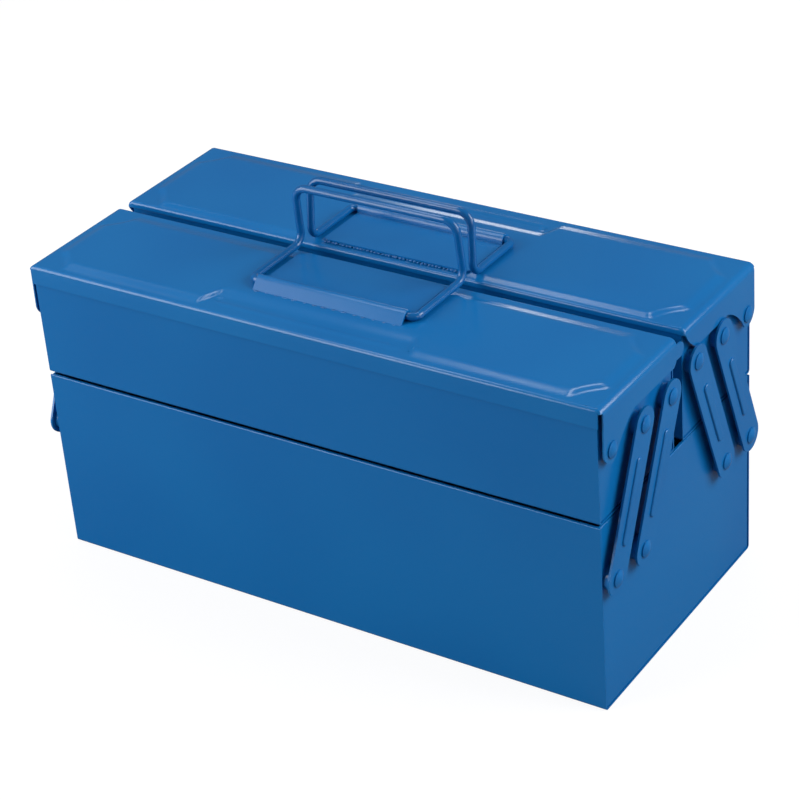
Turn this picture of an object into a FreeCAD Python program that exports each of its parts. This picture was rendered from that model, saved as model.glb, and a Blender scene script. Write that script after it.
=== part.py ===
import FreeCAD, Part
import math
import os
import re
import Sketcher

# Cantilever tool box in sheet steel: a deep base, two trays on parallel links, two hinged lids with wire bails.
# Frame: Z up, X along the box, front at -Y, origin at the middle of the underside. Millimetres.

SIZES = {
    # whole box
    "box_length": 350.0,
    "box_depth": 168.0,
    "base_height": 112.2,
    "sheet_gauge": 0.8,
    "fold_radius": 1.9,
    # folded-in hem along each rim
    "hem_thickness": 2.0,
    "hem_depth": 7.0,
    "hem_rounding": 0.6,
    "hem_side_gap": 0.2,
    "hem_end_gap": 0.5,
    # end panels let in between the walls
    "end_inset": 0.3,
    "flange_depth": 12.0,
    "flange_fold_ease": 0.2,
    # trays
    "tray_lift": 1.6,
    "tray_height": 64.5,
    "tray_gap": 9.8,
    # lids
    "lid_clearance": 2.5,
    "front_lid_inset": 5.4,
    "rear_lid_inset": 3.3,
    "lid_overhang": 1.4,
    "lid_end_gap": 2.3,
    "lid_edge_radius": 1.7,
    "lid_end_radius": 4.0,
    "lid_front_flange": 10.5,
    "front_inner_flange": 1.9,
    "rear_inner_flange": 3.8,
    "lid_end_flange": 15.4,
    "lid_corner_relief": 1.2,
    "lid_corner_depth": 2.4,
    "lid_flange_setback": 2.2,
    # end flange: cut back where the lids meet, and the lobe on the front lid that closes the gap
    "lid_cut_width": 13.0,
    "lid_cut_radius": 22.0,
    "lobe_tip": 1.4,
    "lobe_height": 8.4,
    "lobe_lift": 3.0,
    "lobe_radius": 4.1,
    # raised field pressed into each lid
    "field_height": 1.6,
    "field_margin": 5.5,
    "field_slope": 8.0,
    "field_corner_x": 15.5,
    "field_corner_y": 18.0,
    "field_corner_radius": 33.0,
    # long recess in the outer side of the field
    "recess_length": 136.0,
    "recess_width": 14.0,
    "recess_inset": 17.4,
    "recess_depth": 0.9,
    "recess_end_flat": 0.1,
    # lid hinge tab
    "hinge_inset": 8.8,
    "hinge_rise": 40.6,
    "tab_radius": 7.6,
    "tab_toe_width": 4.0,
    "tab_toe_rise": 1.6,
    "tab_toe_radius": 8.0,
    "tab_sweep_width": 23.3,
    "tab_sweep_radius": 40.0,
    # links: the photo shows the rear pair about 5 mm longer than the front pair
    "pivot_inset": 8.0,
    "pivot_spacing": 29.5,
    "pivot_drop": 32.7,
    "link_reach": 32.0,
    "front_link_rise": 72.6,
    "rear_link_rise": 77.9,
    "link_width": 18.6,
    "link_end_flat": 0.04,
    "link_gauge": 1.2,
    "link_side_gap": 0.1,
    "bead_length": 46.0,
    "bead_width": 5.4,
    "bead_height": 1.0,
    "bead_flat": 0.1,
    # rivets and spacers
    "shank_radius": 2.5,
    "fixed_fit": 0.03,
    "pivot_fit": 0.08,
    "open_pivot_fit": 0.25,
    "head_radius": 4.6,
    "head_height": 2.0,
    "head_rim": 0.6,
    "tail_radius": 4.0,
    "tail_height": 1.2,
    "spacer_radius": 7.0,
    "spacer_thickness": 3.8,
    "shoulder_radius": 4.4,
    # wire bails and the plates that hold them
    "wire_radius": 2.2,
    "wire_lift": 0.15,
    "front_handle_shift": 0.8,
    "rear_handle_shift": 2.6,
    "front_bail_inset": 35.2,
    "rear_bail_inset": 40.6,
    "bail_half_width": 51.5,
    "bail_grip_half": 50.8,
    "bail_knee_offset": 3.2,
    "bail_grip_offset": 6.0,
    "bail_rise": 34.4,
    "bail_foot_radius": 4.5,
    "bail_bend_radius": 6.0,
    "bail_corner_radius": 8.0,
    "bail_butt_gap": 0.4,
    "plate_gauge": 1.0,
    "plate_depth": 37.6,
    "plate_corner_radius": 3.0,
    "tunnel_fit": 0.1,
    "tunnel_end_gap": 0.4,
}

doc = FreeCAD.newDocument("CantileverToolBox")
sheet = doc.addObject("Spreadsheet::Sheet", "Sizes")
for row, (alias, size) in enumerate(SIZES.items(), start=1):
    sheet.set(f"A{row}", alias)
    sheet.set(f"B{row}", str(size))
    sheet.setAlias(f"B{row}", alias)
doc.recompute()

# Heights and offsets that follow from the sizes above.
TRAY_FLOOR = "(base_height + tray_lift)"
TRAY_WIDTH = "((box_depth - tray_gap) / 2)"
TRAY_MIDDLE = "((box_depth + tray_gap) / 4)"
END_FACE = "(box_length / 2 - end_inset)"
LID_X = "(box_length / 2 + lid_end_gap + sheet_gauge)"
LID_OUTER = "(box_depth / 2 + lid_overhang)"
LID_TOP = f"({TRAY_FLOOR} + tray_height + lid_clearance)"
FIELD_TOP = f"({LID_TOP} + field_height)"
HINGE_OFFSET = "(box_depth / 2 - hinge_inset)"
HINGE_HEIGHT = f"({TRAY_FLOOR} + hinge_rise)"
PIVOT_OFFSET = {"outer": "(box_depth / 2 - pivot_inset)", "inner": "(box_depth / 2 - pivot_inset - pivot_spacing)"}
PIVOT_HEIGHT = "(base_height - pivot_drop)"
PLATE_HALF = "(bail_half_width - bail_foot_radius - tunnel_end_gap)"
WIRE_HEIGHT = f"({FIELD_TOP} + wire_lift + wire_radius)"


def ref(text):
    return re.sub(r"\b[a-z]+_[a-z_]+\b", r"Sizes.\g<0>", str(text))


def number(text):
    return float(sheet.evalExpression(re.sub(r"\bSizes\.", "", str(text))))


def bind(thing, prop, text):
    thing.setExpression(prop, ref(text))


def place(thing, x="0", y="0", z="0", turn=0):
    # turn is 0 or 180 degrees about the upright axis
    bind(thing, "Placement.Base.x", x)
    bind(thing, "Placement.Base.y", y)
    bind(thing, "Placement.Base.z", z)
    if turn:
        thing.setExpression("Placement.Rotation.Axis.z", "1")
        thing.setExpression("Placement.Rotation.Angle", str(turn))


def newBody(label):
    body = doc.addObject("PartDesign::Body", label)
    body.Label = label
    return body


def originPlane(body, role):
    return next(item for item in body.Origin.OriginFeatures if item.Role == role)


def newSketch(body, name, plane, offset="0"):
    sketch = body.newObject("Sketcher::SketchObject", f"{body.Name}_{name}")
    sketch.AttachmentSupport = [(originPlane(body, plane), "")]
    sketch.MapMode = "FlatFace"
    bind(sketch, "AttachmentOffset.Base.z", offset)
    return sketch


def limit(sketch, kind, geometry, position, text):
    index = sketch.addConstraint(Sketcher.Constraint(kind, -1, 1, geometry, position, number(text)))
    bind(sketch, f"Constraints[{index}]", text)


def addCircle(sketch, x, y, radius):
    centre = FreeCAD.Vector(number(x), number(y), 0)
    circle = sketch.addGeometry(Part.Circle(centre, FreeCAD.Vector(0, 0, 1), number(radius)), False)
    index = sketch.addConstraint(Sketcher.Constraint("Radius", circle, number(radius)))
    bind(sketch, f"Constraints[{index}]", radius)
    limit(sketch, "DistanceX", circle, 3, x)
    limit(sketch, "DistanceY", circle, 3, y)


def arcBetween(start, end, radius, turn):
    # turn is +1 for an arc that bends left on the way from start to end, -1 for one that bends right
    chord = end - start
    height = math.sqrt(max(radius ** 2 - (chord.Length / 2) ** 2, 0))
    left = FreeCAD.Vector(-chord.y, chord.x, 0).normalize()
    centre = (start + end) / 2 + left * height * turn
    first, last = (start, end) if turn > 0 else (end, start)
    angles = [math.atan2(point.y - centre.y, point.x - centre.x) for point in (first, last)]
    circle = Part.Circle(centre, FreeCAD.Vector(0, 0, 1), radius)
    return Part.ArcOfCircle(circle, angles[0], angles[1])


def addLoop(sketch, points, arcs=None):
    # arcs maps the number of a point to (radius, turn) of the arc that leaves it
    arcs = arcs or {}
    corners = [FreeCAD.Vector(number(x), number(y), 0) for x, y in points]
    segments = []
    for index, start in enumerate(corners):
        end = corners[(index + 1) % len(corners)]
        if index in arcs:
            radius, turn = arcs[index]
            curve = arcBetween(start, end, number(radius), turn)
            geometry = sketch.addGeometry(curve, False)
            segments.append((geometry, 1, 2) if turn > 0 else (geometry, 2, 1))
        else:
            geometry = sketch.addGeometry(Part.LineSegment(start, end), False)
            segments.append((geometry, 1, 2))
    for index, (geometry, first, last) in enumerate(segments):
        following = segments[(index + 1) % len(segments)]
        sketch.addConstraint(Sketcher.Constraint("Coincident", geometry, last, following[0], following[1]))
        limit(sketch, "DistanceX", geometry, first, points[index][0])
        limit(sketch, "DistanceY", geometry, first, points[index][1])
        if index in arcs:
            radius = arcs[index][0]
            fixed = sketch.addConstraint(Sketcher.Constraint("Radius", geometry, number(radius)))
            bind(sketch, f"Constraints[{fixed}]", radius)


def addRectangle(sketch, left, bottom, right, top):
    addLoop(sketch, [(left, bottom), (right, bottom), (right, top), (left, top)])


def addFeature(kind, sketch, length=None, reverse=False, symmetric=False, throughAll=False):
    body = sketch.getParentGeoFeatureGroup()
    feature = body.newObject(f"PartDesign::{kind}", f"{sketch.Name}_{kind.lower()}")
    feature.Profile = sketch
    if throughAll:
        feature.Type = "ThroughAll"
        feature.SideType = "Symmetric"
    else:
        bind(feature, "Length", length)
        if symmetric:
            feature.SideType = "Symmetric"
    feature.Reversed = reverse
    sketch.Visibility = False
    doc.recompute()
    return feature


def edgesWhere(shape, test):
    return [f"Edge{index}" for index, edge in enumerate(shape.Edges, start=1) if test(edge)]


def roundEdges(body, name, test, radius):
    base = body.Tip
    fillet = body.newObject("PartDesign::Fillet", f"{body.Name}_{name}")
    fillet.Base = (base, edgesWhere(base.Shape, test))
    bind(fillet, "Radius", radius)
    doc.recompute()
    return fillet


def along(edge, axis):
    # True for a straight edge that runs along the axis 0, 1 or 2
    if edge.Degenerated or edge.Curve.TypeId != "Part::GeomLine":
        return False
    direction = edge.Curve.Direction
    return abs(abs(direction[axis]) - 1) < 1e-6


def near(one, other):
    return abs(one - other) < 1e-4


# Troughs: the folded sheet that makes the bottom and the two long walls, hemmed along both rims.
def makeTrough(label, width, height):
    body = newBody(label)
    half = f"{width} / 2"
    rim = f"{height}"
    underHem = f"{height} - hem_depth"
    profile = newSketch(body, "profile", "YZ_Plane")
    addLoop(profile, [
        (f"-({half})", "0"),
        (half, "0"),
        (half, rim),
        (f"{half} - hem_thickness", rim),
        (f"{half} - hem_thickness", underHem),
        (f"{half} - sheet_gauge", underHem),
        (f"{half} - sheet_gauge", "sheet_gauge"),
        (f"-({half} - sheet_gauge)", "sheet_gauge"),
        (f"-({half} - sheet_gauge)", underHem),
        (f"-({half} - hem_thickness)", underHem),
        (f"-({half} - hem_thickness)", rim),
        (f"-({half})", rim),
    ])
    addFeature("Pad", profile, "box_length", symmetric=True)
    # the hem stops short of the end panels
    relief = newSketch(body, "hem_relief", "XY_Plane", f"{height} + 1")
    inside = "box_length / 2 - end_inset - flange_depth - hem_end_gap"
    outside = "box_length / 2 + 1"
    hemInner = f"{half} - hem_thickness - hem_end_gap"
    wallInner = f"{half} - sheet_gauge"
    for signX in ("", "-"):
        for signY in ("", "-"):
            addLoop(relief, [
                (f"{signX}({inside})", f"{signY}({hemInner})"),
                (f"{signX}({outside})", f"{signY}({hemInner})"),
                (f"{signX}({outside})", f"{signY}({wallInner})"),
                (f"{signX}({inside})", f"{signY}({wallInner})"),
            ])
    addFeature("Pocket", relief, "hem_depth + 2")
    w = number(half)
    t = number("sheet_gauge")
    top = number(rim)
    hem = number("hem_thickness")

    def alongAt(y, z):
        def test(edge):
            middle = edge.CenterOfMass
            return along(edge, 0) and near(abs(middle.y), y) and near(middle.z, z)
        return test
    roundEdges(body, "outer_fold", alongAt(w, 0), "fold_radius")
    roundEdges(body, "inner_fold", alongAt(w - t, t), "fold_radius - sheet_gauge")
    roundEdges(body, "hem_outside", alongAt(w, top), "hem_rounding")
    roundEdges(body, "hem_inside", alongAt(w - hem, top), "hem_rounding")
    return body


# End panels: a plate with three flanges spot-welded inside the trough and a hemmed top edge.
def makeEnd(label, width, height, holes):
    body = newBody(label)
    half = f"({width} / 2 - sheet_gauge)"
    outline = newSketch(body, "outline", "XY_Plane", "sheet_gauge")
    addRectangle(outline, "-flange_depth", f"-{half}", "0", half)
    addFeature("Pad", outline, f"{height} - sheet_gauge")
    w = number(half)
    t = number("sheet_gauge")

    def foldEdge(edge):
        middle = edge.CenterOfMass
        upright = along(edge, 2) and abs(middle.x) < 0.01
        foot = along(edge, 1) and abs(middle.x) < 0.01 and near(middle.z, t)
        side = along(edge, 0) and near(abs(middle.y), w) and near(middle.z, t)
        return upright or foot or side
    roundEdges(body, "fold", foldEdge, "fold_radius - sheet_gauge + flange_fold_ease")
    hollow = newSketch(body, "hollow", "XY_Plane", "2 * sheet_gauge")
    inner = f"({width} / 2 - 2 * sheet_gauge)"
    addRectangle(hollow, "-flange_depth - 1", f"-{inner}", "-sheet_gauge", inner)
    addFeature("Pocket", hollow, height, reverse=True)
    hem = newSketch(body, "hem", "XY_Plane", f"{height} - hem_depth")
    addRectangle(hem, "-hem_thickness", f"-({inner} - hem_side_gap)", "-sheet_gauge / 2",
                 f"{inner} - hem_side_gap")
    addFeature("Pad", hem, "hem_depth")
    top = number(height)

    def rimEdge(edge):
        middle = edge.CenterOfMass
        faces = abs(middle.x) < 0.01 or near(middle.x, -number("hem_thickness"))
        return along(edge, 1) and near(middle.z, top) and faces
    roundEdges(body, "rim", rimEdge, "hem_rounding")
    pierce = newSketch(body, "rivet_holes", "YZ_Plane", "-flange_depth / 2")
    for y, z in holes:
        addCircle(pierce, y, z, "shank_radius + fixed_fit")
    addFeature("Pocket", pierce, "flange_depth", reverse=True)
    return body


makeTrough("base_body", "box_depth", "base_height")
place(doc.base_body)
for side, label in ((1, "base_end_right"), (-1, "base_end_left")):
    holes = [(f"{sign}{pivot}", PIVOT_HEIGHT) for pivot in PIVOT_OFFSET.values() for sign in ("", "-")]
    end = makeEnd(label, "box_depth", "base_height", holes)
    place(end, x=f"{side} * {END_FACE}", turn=0 if side > 0 else 180)

# Trays: the same folded trough and end panels, one pair of holes for the links and one for the lid hinge.
for row, name in ((-1, "front_tray"), (1, "rear_tray")):
    trough = makeTrough(f"{name}_body", TRAY_WIDTH, "tray_height")
    place(trough, y=f"{row} * {TRAY_MIDDLE}", z=TRAY_FLOOR)
    for side, hand in ((1, "right"), (-1, "left")):
        top = f"{PIVOT_HEIGHT} + {name.split('_')[0]}_link_rise"
        spots = [(f"{pivot} - link_reach", top) for pivot in PIVOT_OFFSET.values()]
        spots.append((HINGE_OFFSET, HINGE_HEIGHT))
        holes = [(f"{row * side} * ({offset} - {TRAY_MIDDLE})", f"{height} - {TRAY_FLOOR}")
                 for offset, height in spots]
        end = makeEnd(f"{name}_end_{hand}", TRAY_WIDTH, "tray_height", holes)
        place(end, x=f"{side} * {END_FACE}", y=f"{row} * {TRAY_MIDDLE}", z=TRAY_FLOOR,
              turn=0 if side > 0 else 180)


# Lids: one pressed sheet with a deep outer flange, a short inner flange and end flanges with hinge tabs.
def fieldOutline(sketch, lidInner, inset):
    x = f"({LID_X} - {inset})"
    outer = f"({LID_OUTER} - {inset})"
    inner = f"({lidInner} + {inset})"
    cutX = f"({x} - field_corner_x)"
    cutOuter = f"({outer} - field_corner_y)"
    cutInner = f"({inner} + field_corner_y)"
    points = [
        (f"-{cutX}", f"-{outer}"),
        (cutX, f"-{outer}"),
        (x, f"-{cutOuter}"),
        (x, f"-{cutInner}"),
        (cutX, f"-{inner}"),
        (f"-{cutX}", f"-{inner}"),
        (f"-{x}", f"-{cutInner}"),
        (f"-{x}", f"-{cutOuter}"),
    ]
    corner = ("field_corner_radius", -1)
    addLoop(sketch, points, {1: corner, 3: corner, 5: corner, 7: corner})


def addField(body, name, kind, lidInner, level):
    foot = newSketch(body, f"{name}_foot", "XY_Plane", level)
    fieldOutline(foot, lidInner, "field_margin")
    crown = newSketch(body, f"{name}_crown", "XY_Plane", f"{level} + field_height")
    fieldOutline(crown, lidInner, "(field_margin + field_slope)")
    doc.recompute()
    loft = body.newObject(f"PartDesign::{kind}", f"{body.Name}_{name}")
    loft.Profile = foot
    loft.Sections = [crown]
    loft.Ruled = True
    doc.recompute()


def recessOutline(sketch, grow):
    x = f"(recess_length / 2 + {grow})"
    middle = f"({LID_OUTER} - recess_inset)"
    inner = f"({middle} - recess_width / 2 - {grow})"
    far = f"({middle} + recess_width / 2 + {grow})"
    r = f"(recess_width / 2 + {grow} - recess_end_flat)"
    points = [
        (f"-({x} - {r})", f"-{far}"),
        (f"{x} - {r}", f"-{far}"),
        (x, f"-({far} - {r})"),
        (x, f"-({inner} + {r})"),
        (f"{x} - {r}", f"-{inner}"),
        (f"-({x} - {r})", f"-{inner}"),
        (f"-{x}", f"-({inner} + {r})"),
        (f"-{x}", f"-({far} - {r})"),
    ]
    end = (r, 1)
    addLoop(sketch, points, {1: end, 3: end, 5: end, 7: end})


def makeLid(label, lidInner, innerFlange, lobed):
    body = newBody(label)
    floor = f"({HINGE_HEIGHT} - 2 * tab_radius)"
    blank = newSketch(body, "blank", "XY_Plane", floor)
    addRectangle(blank, f"-{LID_X}", f"-{LID_OUTER}", LID_X, f"-{lidInner}")
    addFeature("Pad", blank, f"{LID_TOP} - {floor}")
    top = number(LID_TOP)

    def topEdge(axis):
        def test(edge):
            return along(edge, axis) and near(edge.CenterOfMass.z, top)
        return test
    roundEdges(body, "end_bend", topEdge(1), "lid_end_radius")
    roundEdges(body, "long_bend", topEdge(0), "lid_edge_radius")
    addField(body, "field", "AdditiveLoft", lidInner, LID_TOP)
    outerWall = f"({LID_OUTER} - sheet_gauge)"
    innerWall = f"({lidInner} + sheet_gauge)"
    low = f"({floor} - 1)"
    side = f"({LID_X} - sheet_gauge)"
    roof = f"({LID_TOP} - sheet_gauge)"
    bend = "(lid_end_radius - sheet_gauge)"
    hollow = newSketch(body, "hollow", "XZ_Plane", outerWall)
    addLoop(hollow, [
        (f"-{side}", low),
        (f"-{side}", f"{roof} - {bend}"),
        (f"-({side} - {bend})", roof),
        (f"{side} - {bend}", roof),
        (side, f"{roof} - {bend}"),
        (side, low),
    ], {1: (bend, -1), 3: (bend, -1)})
    addFeature("Pocket", hollow, f"{outerWall} - {innerWall}")
    addField(body, "field_inside", "SubtractiveLoft", lidInner, roof)
    # recess pressed down into the outer side of the field
    saddle = newSketch(body, "recess_back", "XY_Plane", f"{FIELD_TOP} - recess_depth - sheet_gauge")
    recessOutline(saddle, "sheet_gauge")
    addFeature("Pad", saddle, "recess_depth")
    recess = newSketch(body, "recess", "XY_Plane", f"{FIELD_TOP} + 1")
    recessOutline(recess, "0")
    addFeature("Pocket", recess, "recess_depth + 1")
    # everything below the finished flanges is trimmed away in one cut along the lid
    endOuter = f"({outerWall} - lid_corner_relief)"
    cornerLevel = f"({LID_TOP} - lid_corner_depth)"
    frontEdge = f"({LID_TOP} - lid_front_flange)"
    innerEdge = f"({LID_TOP} - {innerFlange})"
    endEdge = f"({LID_TOP} - lid_end_flange)"
    toe = f"({HINGE_HEIGHT} - tab_radius)"
    beyond = f"({LID_OUTER} + sheet_gauge)"
    inside = f"({lidInner} - sheet_gauge)"
    lobeFoot = f"({endEdge} + lobe_lift)"
    points = [
        (f"-{beyond}", low),
        (f"-{beyond}", frontEdge),
        (f"-{outerWall}", frontEdge),
        (f"-{outerWall}", cornerLevel),
        (f"-{endOuter}", cornerLevel),
        (f"-{endOuter}", HINGE_HEIGHT),
        (f"-{HINGE_OFFSET}", toe),
        (f"-({HINGE_OFFSET} - tab_toe_width)", f"{toe} + tab_toe_rise"),
        (f"-({HINGE_OFFSET} - tab_sweep_width)", endEdge),
    ]
    arcs = {5: ("tab_toe_radius + lid_corner_relief", 1), 7: ("tab_sweep_radius", -1)}
    if lobed:
        points.append((f"-({innerWall} + lobe_lift)", endEdge))
        points.append((f"-{innerWall}", lobeFoot))
    else:
        arcs[9] = ("lid_cut_radius", 1)
        points.append((f"-({innerWall} + lid_cut_width)", endEdge))
    points += [
        (f"-{innerWall}", innerEdge),
        (f"-{inside}", innerEdge),
        (f"-{inside}", low),
    ]
    trim = newSketch(body, "trim", "YZ_Plane")
    addLoop(trim, points, arcs)
    addFeature("Pocket", trim, throughAll=True)
    # the outer flange stops short of the end flanges
    setback = newSketch(body, "flange_ends", "XZ_Plane", outerWall)
    for sign in ("", "-"):
        addLoop(setback, [
            (f"{sign}({LID_X} - lid_flange_setback)", low),
            (f"{sign}({LID_X} + 1)", low),
            (f"{sign}({LID_X} + 1)", cornerLevel),
            (f"{sign}({LID_X} - lid_flange_setback)", cornerLevel),
        ])
    addFeature("Pocket", setback, "2 * sheet_gauge", reverse=True)
    if lobed:
        for hand, offset in (("right", f"({LID_X} - sheet_gauge)"), ("left", f"-{LID_X}")):
            lobe = newSketch(body, f"lobe_{hand}", "YZ_Plane", offset)
            root = f"-({innerWall} + lobe_height)"
            head = f"({lobeFoot} + lobe_height)"
            addLoop(lobe, [
                (root, lobeFoot),
                ("lobe_tip - lobe_radius", lobeFoot),
                ("lobe_tip", f"{lobeFoot} + lobe_radius"),
                ("lobe_tip", f"{head} - lobe_radius"),
                ("lobe_tip - lobe_radius", head),
                (root, head),
            ], {1: ("lobe_radius", 1), 3: ("lobe_radius", 1)})
            addFeature("Pad", lobe, "sheet_gauge")
    pierce = newSketch(body, "hinge_holes", "YZ_Plane")
    addCircle(pierce, f"-{HINGE_OFFSET}", HINGE_HEIGHT, "shank_radius + pivot_fit")
    addFeature("Pocket", pierce, throughAll=True)
    return body


place(makeLid("front_lid", "front_lid_inset", "front_inner_flange", True))
place(makeLid("rear_lid", "rear_lid_inset", "rear_inner_flange", False), turn=180)


# Handle plates: a strip welded on each lid that rises over the base bar of the bail as a tunnel.
def makePlate(label, axis):
    body = newBody(label)
    inner = "(wire_radius + tunnel_fit)"
    outer = "(wire_radius + tunnel_fit + plate_gauge)"
    base = FIELD_TOP
    edge = f"({axis} - plate_depth)"
    # past the crest the strip runs down at 45 degrees and stands on the lid
    outerLean = f"({outer} / sqrt(2))"
    innerLean = f"({inner} / sqrt(2))"
    outerFoot = f"({axis} + 2 * {outerLean} + {WIRE_HEIGHT} - {base})"
    innerFoot = f"({axis} + 2 * {innerLean} + {WIRE_HEIGHT} - {base})"
    section = newSketch(body, "section", "YZ_Plane")
    points = [
        (f"-{edge}", base),
        (f"-{edge}", f"{base} + plate_gauge"),
        (f"-({axis} - {outer})", f"{base} + plate_gauge"),
        (f"-({axis} - {outer})", WIRE_HEIGHT),
        (f"-{axis}", f"{WIRE_HEIGHT} + {outer}"),
        (f"-({axis} + {outerLean})", f"{WIRE_HEIGHT} + {outerLean}"),
        (f"-{outerFoot}", base),
        (f"-{innerFoot}", base),
        (f"-({axis} + {innerLean})", f"{WIRE_HEIGHT} + {innerLean}"),
        (f"-{axis}", f"{WIRE_HEIGHT} + {inner}"),
        (f"-({axis} - {inner})", WIRE_HEIGHT),
        (f"-({axis} - {inner})", base),
    ]
    arcs = {3: (outer, 1), 4: (outer, 1), 8: (inner, -1), 9: (inner, -1)}
    addLoop(section, points, arcs)
    addFeature("Pad", section, f"2 * {PLATE_HALF}", symmetric=True)
    free = number(f"-{edge}")

    def corner(item):
        return along(item, 2) and near(item.CenterOfMass.y, free)
    roundEdges(body, "corner", corner, "plate_corner_radius")
    return body


BAIL_AXIS = {name: f"({LID_OUTER} - {name}_bail_inset)" for name in ("front", "rear")}
for name, turn in (("front", 0), ("rear", 180)):
    place(makePlate(f"{name}_handle_plate", BAIL_AXIS[name]), x=f"{name}_handle_shift", turn=turn)


# Bails: one length of wire bent to a loop, lying on the lid and turned up at the middle to a grip.
def roundBar(points, radii, radius):
    # a round bar along straight runs and bends, made of true cylinders and torus pieces
    pieces = []
    start = points[0]

    def section(centre, direction):
        return Part.Face(Part.Wire(Part.Circle(centre, direction, radius).toShape()))
    for before, corner, after, bend in zip(points, points[1:], points[2:], radii):
        back = (before - corner).normalize()
        forth = (after - corner).normalize()
        half = back.getAngle(forth) / 2
        entry = corner + back * (bend / math.tan(half))
        centre = corner + (back + forth).normalize() * (bend / math.sin(half))
        pieces.append(section(start, entry - start).extrude(entry - start))
        axis = back.cross(forth) * -1
        turn = 180 - math.degrees(2 * half)
        pieces.append(section(entry, back * -1).revolve(centre, axis, turn))
        start = corner + forth * (bend / math.tan(half))
    pieces.append(section(start, points[-1] - start).extrude(points[-1] - start))
    return pieces[0].multiFuse(pieces[1:]).removeSplitter()


def makeBail(label, axisOffset):
    bail = doc.addObject("Part::Feature", label)
    bail.Label = label
    x = number("bail_half_width")
    gripX = number("bail_grip_half")
    axis = -number(axisOffset)
    level = number(WIRE_HEIGHT)
    knee = -number("bail_knee_offset")
    grip = -number("bail_grip_offset")
    top = level + number("bail_rise")
    gap = number("bail_butt_gap")
    points = [FreeCAD.Vector(*point) for point in (
        (gap, axis, level),
        (x, axis, level),
        (x, knee, level),
        (gripX, grip, top),
        (-gripX, grip, top),
        (-x, knee, level),
        (-x, axis, level),
        (-gap, axis, level),
    )]
    foot = number("bail_foot_radius")
    bend = number("bail_bend_radius")
    corner = number("bail_corner_radius")
    bail.Shape = roundBar(points, [foot, bend, corner, corner, bend, foot], number("wire_radius"))
    return bail


for name, turn in (("front", 0), ("rear", 180)):
    place(makeBail(f"{name}_handle_bail", BAIL_AXIS[name]), x=f"{name}_handle_shift", turn=turn)


# Links: flat bars with rounded ends and a long bead. Local X is outward, Y runs from base pivot to tray pivot.
def makeLink(label, rise, topFit):
    body = newBody(label)
    span = f"sqrt(link_reach ^ 2 + {rise} ^ 2)"
    half = "link_width / 2"
    blank = newSketch(body, "blank", "YZ_Plane")
    addRectangle(blank, f"-({half})", f"-({half})", half, f"{span} + {half}")
    addFeature("Pad", blank, "link_gauge")

    def upright(edge):
        return along(edge, 0)
    roundEdges(body, "ends", upright, "(link_width - link_end_flat) / 2")
    bead = newSketch(body, "bead", "YZ_Plane", "link_gauge")
    low = f"({span} / 2 - bead_length / 2)"
    high = f"({span} / 2 + bead_length / 2)"
    w = "(bead_width / 2)"
    beadRound = "((bead_width - bead_flat) / 2)"
    points = [
        (f"-({w} - {beadRound})", low),
        (f"{w} - {beadRound}", low),
        (w, f"{low} + {beadRound}"),
        (w, f"{high} - {beadRound}"),
        (f"{w} - {beadRound}", high),
        (f"-({w} - {beadRound})", high),
        (f"-{w}", f"{high} - {beadRound}"),
        (f"-{w}", f"{low} + {beadRound}"),
    ]
    end = (beadRound, 1)
    addLoop(bead, points, {1: end, 3: end, 5: end, 7: end})
    addFeature("Pad", bead, "bead_height")
    crest = number("link_gauge + bead_height")

    def crestEdge(edge):
        return near(edge.CenterOfMass.x, crest)
    roundEdges(body, "bead_crest", crestEdge, "bead_height - bead_flat")
    pierce = newSketch(body, "pivot_holes", "YZ_Plane", "-1")
    addCircle(pierce, "0", "0", "shank_radius + pivot_fit")
    addCircle(pierce, "0", span, f"shank_radius + {topFit}")
    addFeature("Pocket", pierce, "link_gauge + bead_height + 2", reverse=True)
    return body


LINK_PLANE = f"({END_FACE} + spacer_thickness + link_side_gap)"
for row, name in ((-1, "front"), (1, "rear")):
    rise = f"{name}_link_rise"
    lean = f"atan(link_reach / {rise})"
    for side, hand in ((1, "right"), (-1, "left")):
        for rank, pivot in PIVOT_OFFSET.items():
            topFit = "pivot_fit" if rank == "outer" else "open_pivot_fit"
            link = makeLink(f"{name}_{rank}_link_{hand}", rise, topFit)
            # right links lean about X; left ones are turned about as well, which makes one half turn
            half = FreeCAD.Rotation(FreeCAD.Vector(0, 0, 1), 0 if side > 0 else 180)
            tip = FreeCAD.Rotation(FreeCAD.Vector(1, 0, 0), row * side * number(lean))
            link.Placement = FreeCAD.Placement(FreeCAD.Vector(), half * tip)
            if side > 0:
                bind(link, "Placement.Rotation.Angle", f"{row} * {lean}")
            else:
                bind(link, "Placement.Rotation.Axis.y", f"{-row} * sin({lean} / 2)")
                bind(link, "Placement.Rotation.Axis.z", f"cos({lean} / 2)")
            bind(link, "Placement.Base.x", f"{side} * {LINK_PLANE}")
            bind(link, "Placement.Base.y", f"{row} * {pivot}")
            bind(link, "Placement.Base.z", PIVOT_HEIGHT)


# Rivets: a domed head outside, a shank and a flat tail inside. Each node is one group of separate solids.
def groupOf(label, pieces):
    group = doc.addObject("Part::Feature", label)
    group.Label = label
    group.Shape = Part.makeCompound(pieces)
    return group


def disc(radius, start, end):
    out = FreeCAD.Vector(1, 0, 0)
    return Part.makeCylinder(radius, end - start, out * start, out)


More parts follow.
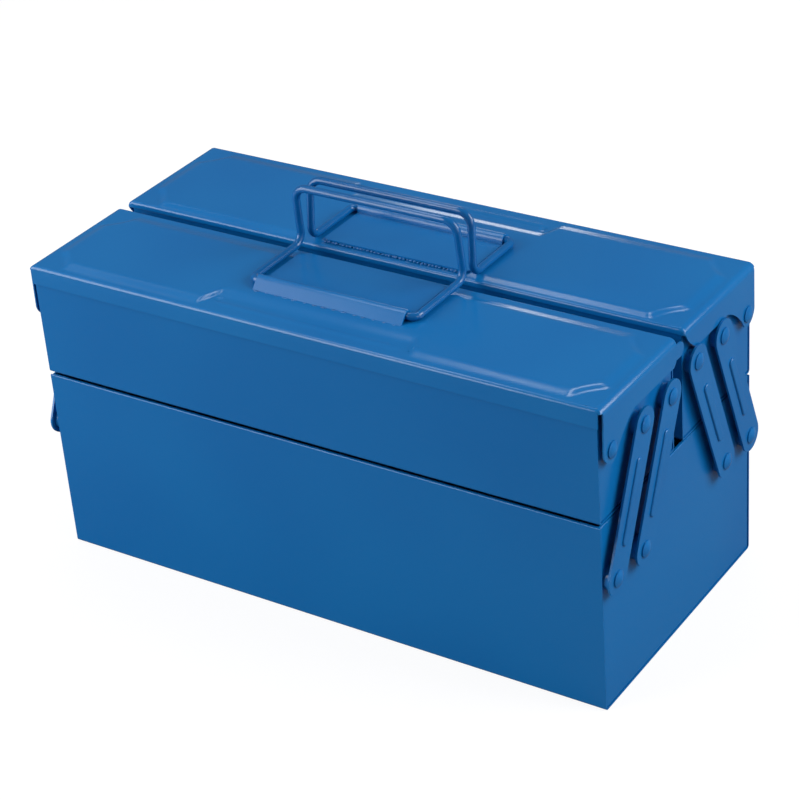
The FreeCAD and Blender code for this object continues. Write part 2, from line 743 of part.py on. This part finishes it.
def makeRivet(grip, shoulder=0):
    # lies along X with the panel face at x = 0: a flat tail inside, a shank, a rim and a dome cut from a sphere
    panel = number("sheet_gauge")
    depth = number("tail_height")
    edge = number("head_radius")
    rim = number("head_rim")
    dome = number("head_height") - rim
    ball = (edge ** 2 + dome ** 2) / (2 * dome)
    latitude = math.degrees(math.asin((ball - dome) / ball))
    centre = FreeCAD.Vector(grip + rim - (ball - dome), 0, 0)
    pieces = [
        disc(number("shank_radius"), -panel, grip),
        disc(edge, grip, grip + rim),
        Part.makeSphere(ball, centre, FreeCAD.Vector(1, 0, 0), latitude, 90, 360),
    ]
    if shoulder:
        pieces.append(disc(number("shoulder_radius"), 0, shoulder))
    return disc(number("tail_radius"), -panel - depth, -panel).multiFuse(pieces).removeSplitter()


def makeSpacer():
    thickness = number("spacer_thickness")
    return disc(number("spacer_radius"), 0, thickness).cut(disc(number("shank_radius + fixed_fit"), 0, thickness))


def bothEnds(piece, spots):
    # one copy at each (y, z) on the right end and, turned about, on the left end
    copies = []
    face = number(END_FACE)
    for y, z in spots:
        for side in (1, -1):
            turn = FreeCAD.Rotation(FreeCAD.Vector(0, 0, 1), 0 if side > 0 else 180)
            copy = piece.copy()
            copy.Placement = FreeCAD.Placement(FreeCAD.Vector(side * face, y, z), turn)
            copies.append(copy)
    return copies


linkGrip = number("spacer_thickness + link_gauge + 2 * link_side_gap")
lidStandOff = number(f"{LID_X} - sheet_gauge - {END_FACE} - link_side_gap")
hingeGrip = number(f"{LID_X} - {END_FACE} + link_side_gap")
pivots = [number(offset) for offset in PIVOT_OFFSET.values()]
reach = number("link_reach")
baseSpots = [(row * pivot, number(PIVOT_HEIGHT)) for row in (-1, 1) for pivot in pivots]
place(groupOf("base_pivot_rivets", bothEnds(makeRivet(linkGrip), baseSpots)))
place(groupOf("base_link_spacers", bothEnds(makeSpacer(), baseSpots)))
for row, name in ((-1, "front"), (1, "rear")):
    top = number(f"{PIVOT_HEIGHT} + {name}_link_rise")
    spots = [(row * (pivot - reach), top) for pivot in pivots]
    place(groupOf(f"{name}_tray_pivot_rivets", bothEnds(makeRivet(linkGrip), spots)))
    place(groupOf(f"{name}_tray_link_spacers", bothEnds(makeSpacer(), spots)))
    hinge = [(row * number(HINGE_OFFSET), number(HINGE_HEIGHT))]
    place(groupOf(f"{name}_lid_hinge_rivets", bothEnds(makeRivet(hingeGrip, lidStandOff), hinge)))

doc.recompute()

# Every object is checked, then each sub-part is written in its place in the box.
for item in doc.Objects:
    if "Invalid" in item.State or "Error" in item.State:
        raise RuntimeError(f"{item.Name}: {item.State}")

os.makedirs("parts", exist_ok=True)
parts = [item for item in doc.Objects
         if item.TypeId in ("PartDesign::Body", "Part::Feature") and not item.InList]
for item in parts:
    shape = item.Shape
    if shape.isNull() or not shape.isValid():
        raise RuntimeError(f"{item.Label}: the shape is not sound")
    shape.exportStep(f"parts/{item.Label}.step")
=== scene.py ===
import math
import random

import bmesh
import bpy
from mathutils import Matrix, Vector


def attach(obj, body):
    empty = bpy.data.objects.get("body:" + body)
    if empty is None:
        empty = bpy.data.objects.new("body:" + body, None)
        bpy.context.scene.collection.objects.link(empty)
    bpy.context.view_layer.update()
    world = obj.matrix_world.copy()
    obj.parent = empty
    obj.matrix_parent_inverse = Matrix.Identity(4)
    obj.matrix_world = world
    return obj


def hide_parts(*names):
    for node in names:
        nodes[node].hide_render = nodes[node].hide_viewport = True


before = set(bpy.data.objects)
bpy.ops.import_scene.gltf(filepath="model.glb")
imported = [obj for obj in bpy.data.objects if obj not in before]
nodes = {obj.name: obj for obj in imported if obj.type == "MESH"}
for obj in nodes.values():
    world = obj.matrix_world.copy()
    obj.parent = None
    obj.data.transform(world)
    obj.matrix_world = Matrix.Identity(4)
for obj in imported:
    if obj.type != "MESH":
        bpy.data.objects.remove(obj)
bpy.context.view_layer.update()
mm = 0.001
print("frame loaded:", len(nodes), "nodes")


def linear(hexColour):
    # sRGB hex to the linear colour that a socket takes
    parts = [int(hexColour[i:i + 2], 16) / 255 for i in (0, 2, 4)]
    return tuple(c / 12.92 if c <= 0.04045 else ((c + 0.055) / 1.055) ** 2.4 for c in parts) + (1.0,)


def addNode(tree, kind, inputs=None, **settings):
    # one node, its settings, and what each input takes: a value or another node's output
    node = tree.nodes.new(kind)
    for name, value in settings.items():
        setattr(node, name, value)
    for socket, value in (inputs or {}).items():
        if isinstance(value, bpy.types.NodeSocket):
            tree.links.new(value, node.inputs[socket])
        else:
            node.inputs[socket].default_value = value
    return node


# The view of the photo, solved from the corners of the box
camera = {
    "target": (3.4, -0.1, 96.7),   # mm, what the lens points at
    "azimuth": 34.91,              # degrees to the right of straight in front
    "elevation": 30.41,            # degrees above level
    "roll": -4.63,                 # degrees that the view is turned about its own middle
    "distance": 1341.0,            # mm
    "lens": 109.2,                 # mm
    "sensor": 36,                  # mm
    "seesTo": 20,                  # m
}


def addCamera(look):
    az, el, roll = (math.radians(look[key]) for key in ("azimuth", "elevation", "roll"))
    # from the box back to the lens, then the view's own right and up before and after its roll
    back = Vector((math.sin(az) * math.cos(el), -math.cos(az) * math.cos(el), math.sin(el)))
    level = (-back).cross(Vector((0, 0, 1))).normalized()
    upright = level.cross(-back)
    right = level * math.cos(roll) + upright * math.sin(roll)
    up = upright * math.cos(roll) - level * math.sin(roll)
    data = bpy.data.cameras.new("camera")
    data.sensor_fit = "HORIZONTAL"
    data.sensor_width = look["sensor"]
    data.lens = look["lens"]
    data.clip_end = look["seesTo"]
    thing = bpy.data.objects.new("camera", data)
    thing.matrix_world = Matrix((right, up, back)).transposed().to_4x4()
    thing.location = (Vector(look["target"]) + back * look["distance"]) * mm
    bpy.context.collection.objects.link(thing)
    bpy.context.scene.camera = thing


addCamera(camera)

# A white table in a dim room. The camera, and glass if there were any, sees the room white. The enamel mirrors
# the dim room and the lamps, because in the photo it mirrors no white. No bare metal shows.
studio = {
    "floorSize": 6.0,          # m
    "floorColour": "7C7C7C",   # the table is mid grey to the box, so the walls aren't washed out from below
    "floorLift": 0.86,         # own light of the table as the camera sees it, so that it comes out white
    "skyColour": "FFFFFF",
    "skyLight": 0.15,          # what the room gives the object from all sides
    "lampAim": (0, 0, 0.1),    # m, where all lamps look
    "lamps": [
        # name, place (m), width, height, watts
        ("front left window", (-1.10, -1.06, 0.62), 1.5, 1.15, 25),
        ("softbox at the right rear", (1.35, 0.65, 1.0), 1.2, 1.0, 22.5),
        ("right card", (1.60, -0.25, 0.50), 1.2, 0.8, 5),
        ("softbox over the left", (-0.62, 0.08, 1.46), 1.1, 0.20, 3.0),
        ("strip over the left front", (-0.85, -0.64, 1.15), 0.8, 0.12, 0.9),
        ("strip over the left rear", (-1.20, 0.60, 1.32), 0.5, 0.10, 0.16),
        ("small softbox over the rear", (-0.10, 0.62, 1.38), 0.30, 0.26, 1.6),
        ("low card behind the left", (-0.98, 1.95, 0.33), 0.26, 0.34, 0.8),
    ],
}


def addStudio(look):
    scene = bpy.context.scene
    scene.view_settings.view_transform = "Standard"
    world = bpy.data.worlds.new("room")
    world.use_nodes = True
    tree = world.node_tree
    tree.nodes.clear()
    path = addNode(tree, "ShaderNodeLightPath")
    seen = addNode(tree, "ShaderNodeMath", {0: path.outputs["Is Camera Ray"],
                                            1: path.outputs["Is Transmission Ray"]}, operation="MAXIMUM")
    strength = addNode(tree, "ShaderNodeMix", {0: seen.outputs[0], 2: look["skyLight"], 3: 1.0})
    sky = addNode(tree, "ShaderNodeBackground", {"Color": linear(look["skyColour"]),
                                                 "Strength": strength.outputs[0]})
    addNode(tree, "ShaderNodeOutputWorld", {"Surface": sky.outputs[0]})
    scene.world = world

    shape = bmesh.new()
    bmesh.ops.create_grid(shape, x_segments=1, y_segments=1, size=look["floorSize"] / 2)
    mesh = bpy.data.meshes.new("floor")
    shape.to_mesh(mesh)
    shape.free()
    floor = bpy.data.objects.new("floor", mesh)
    bpy.context.collection.objects.link(floor)
    paper = bpy.data.materials.new("matt paper sweep")
    paper.use_nodes = True
    tree = paper.node_tree
    tree.nodes.clear()
    path = addNode(tree, "ShaderNodeLightPath")
    matt = addNode(tree, "ShaderNodeBsdfDiffuse", {"Color": linear(look["floorColour"])})
    own = addNode(tree, "ShaderNodeMath", {0: path.outputs["Is Camera Ray"], 1: look["floorLift"]},
                  operation="MULTIPLY")
    glow = addNode(tree, "ShaderNodeEmission", {"Strength": own.outputs[0]})
    both = addNode(tree, "ShaderNodeAddShader", {0: matt.outputs[0], 1: glow.outputs[0]})
    addNode(tree, "ShaderNodeOutputMaterial", {"Surface": both.outputs[0]})
    mesh.materials.append(paper)

    for name, place, width, height, watts in look["lamps"]:
        data = bpy.data.lights.new(name, "AREA")
        data.shape = "RECTANGLE"
        data.size = width
        data.size_y = height
        data.energy = watts
        lamp = bpy.data.objects.new(name, data)
        lamp.location = place
        lamp.rotation_euler = (Vector(look["lampAim"]) - Vector(place)).to_track_quat("-Z", "Y").to_euler()
        lamp.visible_camera = False
        bpy.context.collection.objects.link(lamp)


addStudio(studio)
print("studio and camera set")


def joinedCopy(name, within):
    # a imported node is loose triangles, so a copy of it is joined up before it is worked on
    shape = bmesh.new()
    shape.from_mesh(nodes[name].data)
    bmesh.ops.remove_doubles(shape, verts=shape.verts, dist=within * mm)
    return shape


def newPiece(shape, name, body, creaseAngle=35):
    # a finished bmesh becomes an object that rides on a body; edges sharper than the angle stay crisp
    bmesh.ops.recalc_face_normals(shape, faces=shape.faces)
    for face in shape.faces:
        face.smooth = True
    mesh = bpy.data.meshes.new(name)
    shape.to_mesh(mesh)
    shape.free()
    mesh.set_sharp_from_angle(angle=math.radians(creaseAngle))
    piece = bpy.data.objects.new(name, mesh)
    bpy.context.collection.objects.link(piece)
    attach(piece, body)
    return piece


# The lids. The shell with its flanges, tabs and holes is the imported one. Its top is cut into a fine net, on
# which the raised field gets the soft shoulders that sheet takes in a press. Sizes in mm.
lid = {
    "top": 180.8,            # upper side of the rim round the field
    "gauge": 0.8,
    "end": 178.1,            # half length
    "outer": 85.4,           # far edge from the seam
    "inner": {"front": 5.4, "rear": 3.3},
    "height": 1.6,           # of the field
    # from the lid's edge to the foot of the field, and the width of its slope: end, outer side, inner side
    "margin": {"front": (4.9, 3.0, 4.9), "rear": (4.9, 4.9, 1.6)},
    "slope": {"front": (7.6, 9.5, 8.6), "rear": (7.6, 8.6, 5.0)},
    "cornerX": 15.6,         # centre of the round that cuts each corner, past the corner of the foot
    "cornerY": 11.1,
    "cornerRadius": 33.0,
    "cornerSlope": 5.0,
    "blend": 0.3,            # how softly two slopes meet, as a share of their width
    "stepIn": 12.5,          # beside the handle the outer border is pressed back by this much
    "stepHalf": 60.0,        # half length of that part
    "stepRun": 7.0,          # length of the S at each end
    "ribHeight": 0.35,       # low rib along the part pressed back
    "ribOffset": 10.5,       # from the lid's edge
    "ribWidth": 2.6,
    "ribShort": 8.0,         # it starts to fade this far before the S
    "ribFade": 7.0,
    "flangeLean": 0.80,      # the long flange stands out this much more at its lower edge
    "flangeEdge": 170.3,     # height of that edge
    "flangeReach": 2.2,      # what is nearer than this to the outer edge leans with it
    "flangeCurve": 1.5,      # above 1, the lean gathers towards the top
    "dent": {"front": (-57.6, -71.4), "rear": (57.6, 71.4)},   # small round dent beside the S
    "dentRadius": 3.0,
    "dentDepth": 0.5,
    "dentNet": 5.0,          # the net is finer within this radius of it
    "dentCuts": 3,
    # mesh size along and across, and where it is halved along: by the S and by the corners
    "net": (2.4, 1.3),
    "fine": ((56, 70), (146, 176)),
    "netFrom": (5.0, 1.8, 3.0),   # how far from the end, the inner and the outer edge the net starts
    "join": 0.002,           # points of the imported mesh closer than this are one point
    "joinFlat": 0.005,       # and after flattening
    "flatAngle": 0.5,        # degrees, faces that lie this level with each other become one
    "facing": 0.5,           # a normal whose z is past this looks up, past its minus it looks down
    "flatFacing": 0.999,     # and past this the face lies flat
    "level": 0.01,           # how far off its height a flat face may be
    "cut": 0.001,            # a cut this close to a point goes through it
}


def smooth(t):
    # 0 to 1 with a soft start and a soft end
    t = min(max(t, 0), 1)
    return t * t * (3 - 2 * t)


def softLeast(values, blend):
    # the least of the values, rounded off where two come close
    least = values[0]
    for value in values[1:]:
        mix = max(blend - abs(least - value), 0) / blend
        least = min(least, value) - mix * mix * blend / 4
    return least


def fieldRise(x, y, side, look):
    # height in mm of the pressed field over the rim, at a place on the lid
    margins, slopes = look["margin"][side], look["slope"][side]
    edges = (look["end"] - abs(x), look["outer"] - abs(y), abs(y) - look["inner"][side])
    fromEnd, fromOuter, fromInner = (edge - margin for edge, margin in zip(edges, margins))
    beside = 1 - smooth((abs(x) - look["stepHalf"]) / look["stepRun"])
    corners = [math.hypot(max(fromEnd + look["cornerX"], 0), max(far + look["cornerY"], 0))
               - look["cornerRadius"] for far in (fromOuter, fromInner)]
    shares = [fromEnd / slopes[0], (fromOuter - look["stepIn"] * beside) / slopes[1], fromInner / slopes[2]]
    shares += [corner / look["cornerSlope"] for corner in corners]
    rib = smooth(1 - abs(edges[1] - look["ribOffset"]) / look["ribWidth"])
    ribEnd = 1 - smooth((abs(x) - look["stepHalf"] + look["ribShort"]) / look["ribFade"])
    dentX, dentY = look["dent"][side]
    dent = smooth(1 - math.hypot(x - dentX, y - dentY) / look["dentRadius"])
    return (look["height"] * smooth(softLeast(shares, look["blend"])) + look["ribHeight"] * rib * ribEnd
            - look["dentDepth"] * dent)


def netLines(side, look):
    # where the net's lines cross the lid, along and across, in mm
    fromEnd, fromInner, fromOuter = look["netFrom"]
    reach = look["end"] - fromEnd
    along = [-reach]
    while along[-1] < reach:
        isFine = any(low < abs(along[-1]) < high for low, high in look["fine"])
        along.append(along[-1] + look["net"][0] / (2 if isFine else 1))
    near, far = look["inner"][side] + fromInner, look["outer"] - fromOuter
    count = round((far - near) / look["net"][1])
    across = [near + (far - near) * index / count for index in range(count + 1)]
    return along, [at if side == "rear" else -at for at in across]


def pressLid(side, look):
    shape = joinedCopy(f"{side}_lid", look["join"])
    top = look["top"] * mm
    roof = (look["top"] - look["gauge"]) * mm   # the sheet's underside
    for vert in shape.verts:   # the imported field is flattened, on its upper side and its underside
        up = max(face.normal.z for face in vert.link_faces)
        down = min(face.normal.z for face in vert.link_faces)
        if up > look["facing"] and vert.co.z > top:
            vert.co.z = top
        elif down < -look["facing"] and up <= look["facing"] and vert.co.z > roof:
            vert.co.z = roof
    bmesh.ops.remove_doubles(shape, verts=shape.verts, dist=look["joinFlat"] * mm)
    bmesh.ops.dissolve_degenerate(shape, dist=look["joinFlat"] * mm, edges=shape.edges)
    bmesh.ops.dissolve_limit(shape, angle_limit=math.radians(look["flatAngle"]), verts=shape.verts,
                             edges=shape.edges)

    def flatFaces():
        return [face for face in shape.faces if abs(face.normal.z) > look["flatFacing"] and
                all(min(abs(vert.co.z - top), abs(vert.co.z - roof)) < look["level"] * mm
                    for vert in face.verts)]

    for axis, cuts in enumerate(netLines(side, look)):
        for at in cuts:
            point, normal = Vector(), Vector()
            point[axis], normal[axis] = at * mm, 1
            faces = flatFaces()
            edges = list({edge for face in faces for edge in face.edges})
            verts = list({vert for face in faces for vert in face.verts})
            bmesh.ops.bisect_plane(shape, geom=verts + edges + faces, dist=look["cut"] * mm, plane_co=point,
                                   plane_no=normal)
    dent = Vector((*look["dent"][side], 0)) * mm
    nearDent = [edge for face in flatFaces()
                if (face.calc_center_median() - dent).xy.length < look["dentNet"] * mm for edge in face.edges]
    bmesh.ops.subdivide_edges(shape, edges=list(set(nearDent)), cuts=look["dentCuts"], use_grid_fill=True)
    for vert in {vert for face in flatFaces() for vert in face.verts}:
        vert.co.z += fieldRise(vert.co.x / mm, vert.co.y / mm, side, look) * mm
    flangeFrom, edge = look["outer"] - look["flangeReach"], look["flangeEdge"]
    for vert in shape.verts:   # the flange's top comes in and its lower edge stays, so the part keeps its size
        if abs(vert.co.y) > flangeFrom * mm and vert.co.z > edge * mm:
            up = (min(vert.co.z / mm, look["top"]) - edge) / (look["top"] - edge)
            vert.co.y -= math.copysign(look["flangeLean"] * up ** look["flangeCurve"] * mm, vert.co.y)
    print(side, "lid net:", len(shape.faces), "faces")
    piece = newPiece(shape, f"{side}_lid_pressing", f"{side}_lid")
    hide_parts(f"{side}_lid")
    return piece


pieces = {}
for side in ("front", "rear"):
    pieces[f"{side}_lid_pressing"] = pressLid(side, lid)
print("lids pressed")

# Short arc welds that hold the handle plates, painted over with the rest. Sizes in mm.
welds = {
    # where the row lies, its first and last x, its spacing, how long, wide and high each bead is, how uneven
    "front": {"y": -57.75, "z": 182.35, "from": -43, "to": 45, "pitch": 6.2, "bead": (3.4, 1.1, 0.7),
              "uneven": 0.5},
    "rear": {"y": 6.95, "z": 182.0, "from": -42, "to": 47, "pitch": 2.3, "bead": (2.6, 1.3, 1.2),
             "uneven": 0.35},
}
beadUneven = (1.0, 0.4, 0.2, 0.5)   # how much of the unevenness goes to x, y, z and size
beadNet = (12, 8)                   # faces round a bead and from end to end


def weldRow(side, look):
    chance = random.Random(len(side))   # seeded, so that it is the same each run
    shape = bmesh.new()
    count = int((look["to"] - look["from"]) / look["pitch"])
    for index in range(count + 1):
        off = [chance.uniform(-1, 1) * look["uneven"] * share for share in beadUneven]
        place = Vector((look["from"] + index * look["pitch"] + off[0], look["y"] + off[1],
                        look["z"] + off[2])) * mm
        stretch = [size / 2 * mm * (1 + off[3]) for size in look["bead"]]
        bmesh.ops.create_uvsphere(shape, u_segments=beadNet[0], v_segments=beadNet[1], radius=1,
                                  matrix=Matrix.Translation(place) @ Matrix.Diagonal((*stretch, 1)))
    return newPiece(shape, f"{side}_plate_weld", f"{side}_lid")


for side, look in welds.items():
    pieces[f"{side}_plate_weld"] = weldRow(side, look)
print("plates welded")

# Stoved enamel on sheet steel, sprayed and baked. It has a fine orange peel that breaks up the edges of a
# reflection, a slow wave from the thin sheet under it, and places where it is a little paler. The peel is about
# a millimetre wide, as on real enamel, which is two or three pixels of the render. Widths and depths in mm.
finishes = {
    "sheet": {"name": "stoved enamel on folded sheet", "colour": "0A6AB0", "pale": "0D6FB4", "roughness": 0.22,
              "peelWidth": 1.5, "peelDepth": 0.007, "waveWidth": 110, "waveDepth": 0.05},
    "pressed": {"name": "stoved enamel on pressed sheet", "colour": "0B6BB0", "pale": "0F70B4",
                "roughness": 0.20, "peelWidth": 1.2, "peelDepth": 0.010, "waveWidth": 90, "waveDepth": 0.05},
    # thick paint over the flat links and the handle plates, so the peel is deeper and the gloss grainy
    "strip": {"name": "stoved enamel on strip steel", "colour": "0B6AAF", "pale": "0F6FB4", "roughness": 0.22,
              "peelWidth": 1.0, "peelDepth": 0.028, "waveWidth": 40, "waveDepth": 0.02},
    # smooth and tight over the round wire, so it is glossier; its blue is darker than the sheet's as painted
    # shade, which holds down the pale sheen the lamps give the round wire
    "wire": {"name": "stoved enamel on drawn wire", "colour": "085C9C", "pale": "0B62A4", "roughness": 0.15,
             "peelWidth": 1.2, "peelDepth": 0.004, "waveWidth": 12, "waveDepth": 0.01},
    # uneven and duller over the rough bead; its blue is darker than the sheet's as painted shade, for the dark
    # dashes where the plate meets the lid
    "weld": {"name": "stoved enamel over weld beads", "colour": "0B5C9C", "pale": "0F6AB0", "roughness": 0.26,
             "peelWidth": 1.0, "peelDepth": 0.02, "waveWidth": 5, "waveDepth": 0.03},
    "rivet": {"name": "stoved enamel on rivet heads", "colour": "0D6AB0", "pale": "1272B8", "roughness": 0.18,
              "peelWidth": 1.2, "peelDepth": 0.004, "waveWidth": 6, "waveDepth": 0.01},
}
# what all the finishes share
film = {
    "index": 1.5,                # index of refraction of a baked alkyd film
    "detail": 1.0,               # octaves of the noise past the first
    "peelRoughness": 0.45,       # strength of the finer octave
    "waveRoughness": 0.4,
    "paleRange": (0.35, 0.65),   # of the wave, over which the colour goes from plain to pale
    "glossRange": (0.3, 0.7),    # of the peel, over which the roughness goes from least to most
    "glossSpread": 0.03,         # that far below and above its middle
}


def enamel(look):
    # patterns on Object coordinates, in real sizes
    material = bpy.data.materials.new(look["name"])
    material.use_nodes = True
    tree = material.node_tree
    tree.nodes.clear()
    place = addNode(tree, "ShaderNodeTexCoord").outputs["Object"]
    peel = addNode(tree, "ShaderNodeTexNoise", {"Vector": place, "Scale": 1 / (look["peelWidth"] * mm),
                                                "Detail": film["detail"], "Roughness": film["peelRoughness"]})
    wave = addNode(tree, "ShaderNodeTexNoise", {"Vector": place, "Scale": 1 / (look["waveWidth"] * mm),
                                                "Detail": film["detail"], "Roughness": film["waveRoughness"]})
    waveBump = addNode(tree, "ShaderNodeBump", {"Height": wave.outputs["Fac"], "Strength": 1.0,
                                                "Distance": look["waveDepth"] * mm})
    peelBump = addNode(tree, "ShaderNodeBump", {"Height": peel.outputs["Fac"], "Strength": 1.0,
                                                "Distance": look["peelDepth"] * mm,
                                                "Normal": waveBump.outputs[0]})
    pale = addNode(tree, "ShaderNodeMapRange", {"Value": wave.outputs["Fac"], "From Min": film["paleRange"][0],
                                                "From Max": film["paleRange"][1]})
    colour = addNode(tree, "ShaderNodeMix", {0: pale.outputs[0], 6: linear(look["colour"]),
                                             7: linear(look["pale"])}, data_type="RGBA")
    gloss = addNode(tree, "ShaderNodeMapRange", {"Value": peel.outputs["Fac"],
                                                 "From Min": film["glossRange"][0],
                                                 "From Max": film["glossRange"][1],
                                                 "To Min": look["roughness"] - film["glossSpread"],
                                                 "To Max": look["roughness"] + film["glossSpread"]})
    paint = addNode(tree, "ShaderNodeBsdfPrincipled", {"Base Color": colour.outputs[2],
                                                       "Roughness": gloss.outputs[0], "IOR": film["index"],
                                                       "Normal": peelBump.outputs[0]})
    addNode(tree, "ShaderNodeOutputMaterial", {"Surface": paint.outputs[0]})
    return material


def finishOf(name):
    # which finish a node or a piece wears, by what it is made from
    if name.endswith("_rivets") or name.endswith("_spacers"):
        return "rivet"
    if name.endswith("_bail"):
        return "wire"
    if name.endswith("_weld"):
        return "weld"
    if "_link_" in name or name.endswith("_plate"):
        return "strip"
    if "_lid" in name:
        return "pressed"
    return "sheet"


made = {key: enamel(look) for key, look in finishes.items()}
for name, thing in nodes.items():
    for materialSlot in thing.material_slots:
        materialSlot.material = made[finishOf(name)]
for name, piece in pieces.items():
    piece.data.materials.append(made[finishOf(name)])
print("enamel on", len(nodes) + len(pieces), "objects")
